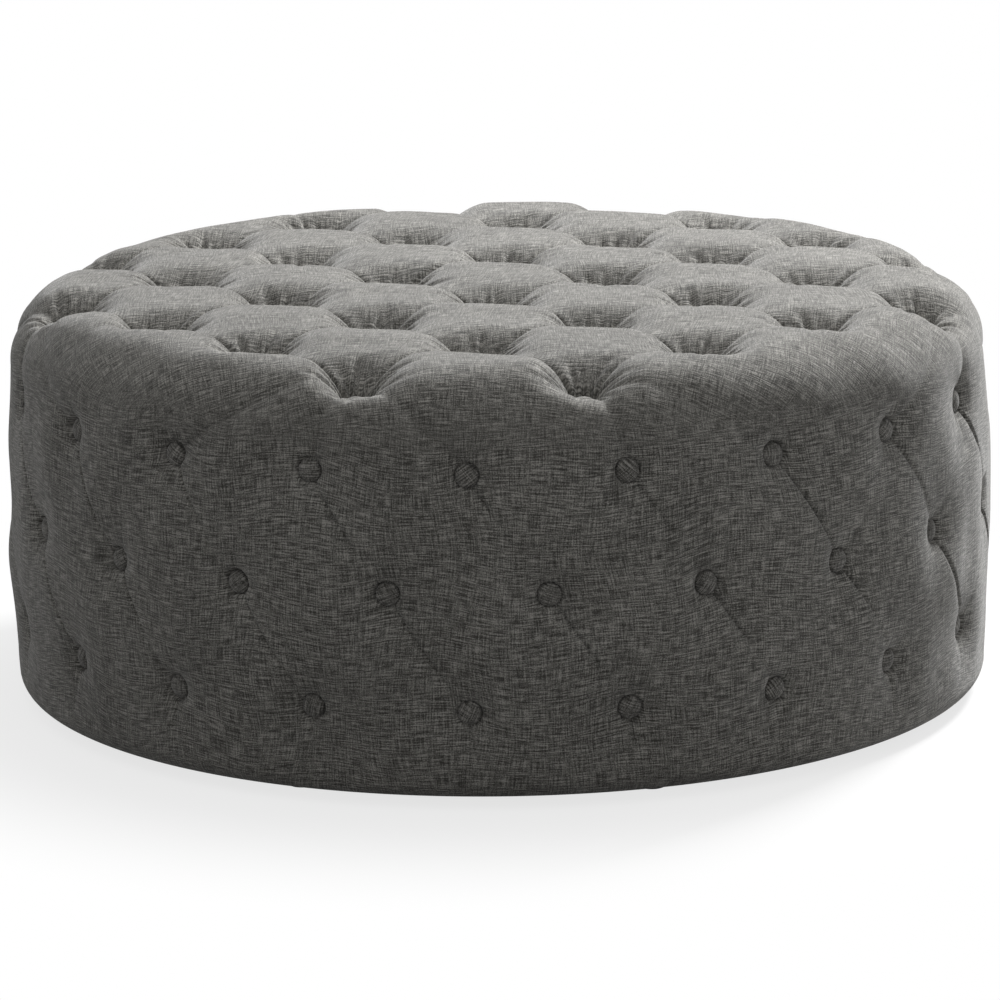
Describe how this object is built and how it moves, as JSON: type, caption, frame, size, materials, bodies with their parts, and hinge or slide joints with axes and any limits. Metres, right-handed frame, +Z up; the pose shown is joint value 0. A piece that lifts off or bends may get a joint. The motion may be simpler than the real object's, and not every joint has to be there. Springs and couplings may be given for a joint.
{
  "type": "round tufted ottoman coffee table",
  "caption": "Large low round ottoman coffee table with a diamond-tufted padded top, buttoned padded sides and a hidden timber frame.",
  "frame": {"origin": "centre of the ottoman on the floor that it stands on", "axes": "+Z up; -Y is the side that faces the camera most nearly, where a column of side buttons lies"},
  "size_m": [1.1002, 1.1001, 0.466],
  "materials": {
    "cover_fabric": "woven, matt, dark grey melange",
    "button_fabric": "the same weave stretched over a button",
    "foam": "open foam, matt",
    "twine": "waxed twine",
    "washer_steel": "zinc plated",
    "plywood": "raw plywood",
    "softwood": "planed softwood",
    "screw_steel": "zinc plated",
    "staple_steel": "bright wire",
    "dust_cloth": "thin black bonded cloth",
    "glide_plastic": "moulded, satin"
  },
  "bodies": {
    "root": {"upholstery_cover": "cover_fabric", "foam_top_pad": "foam", "foam_side_band": "foam", "top_buttons": "button_fabric", "side_buttons_upper": "button_fabric", "side_buttons_middle": "button_fabric", "side_buttons_lower": "button_fabric", "top_button_twines": "twine", "side_button_twines": "twine", "top_twine_washers": "washer_steel", "side_twine_washers": "washer_steel", "top_deck": "plywood", "base_ring": "plywood", "side_hoop": "plywood", "posts": "softwood", "deck_rail_lower_half": "softwood", "deck_rail_upper_half": "softwood", "base_rail_lower_half": "softwood", "base_rail_upper_half": "softwood", "centre_post": "softwood", "glue_blocks": "softwood", "deck_screws": "screw_steel", "rail_screws": "screw_steel", "base_screws": "screw_steel", "hoop_nails": "screw_steel", "dust_cover": "dust_cloth", "cover_staples": "staple_steel", "dust_cover_staples": "staple_steel", "glide_pads": "glide_plastic", "glide_nails": "screw_steel"}
  },
  "joints": []
}
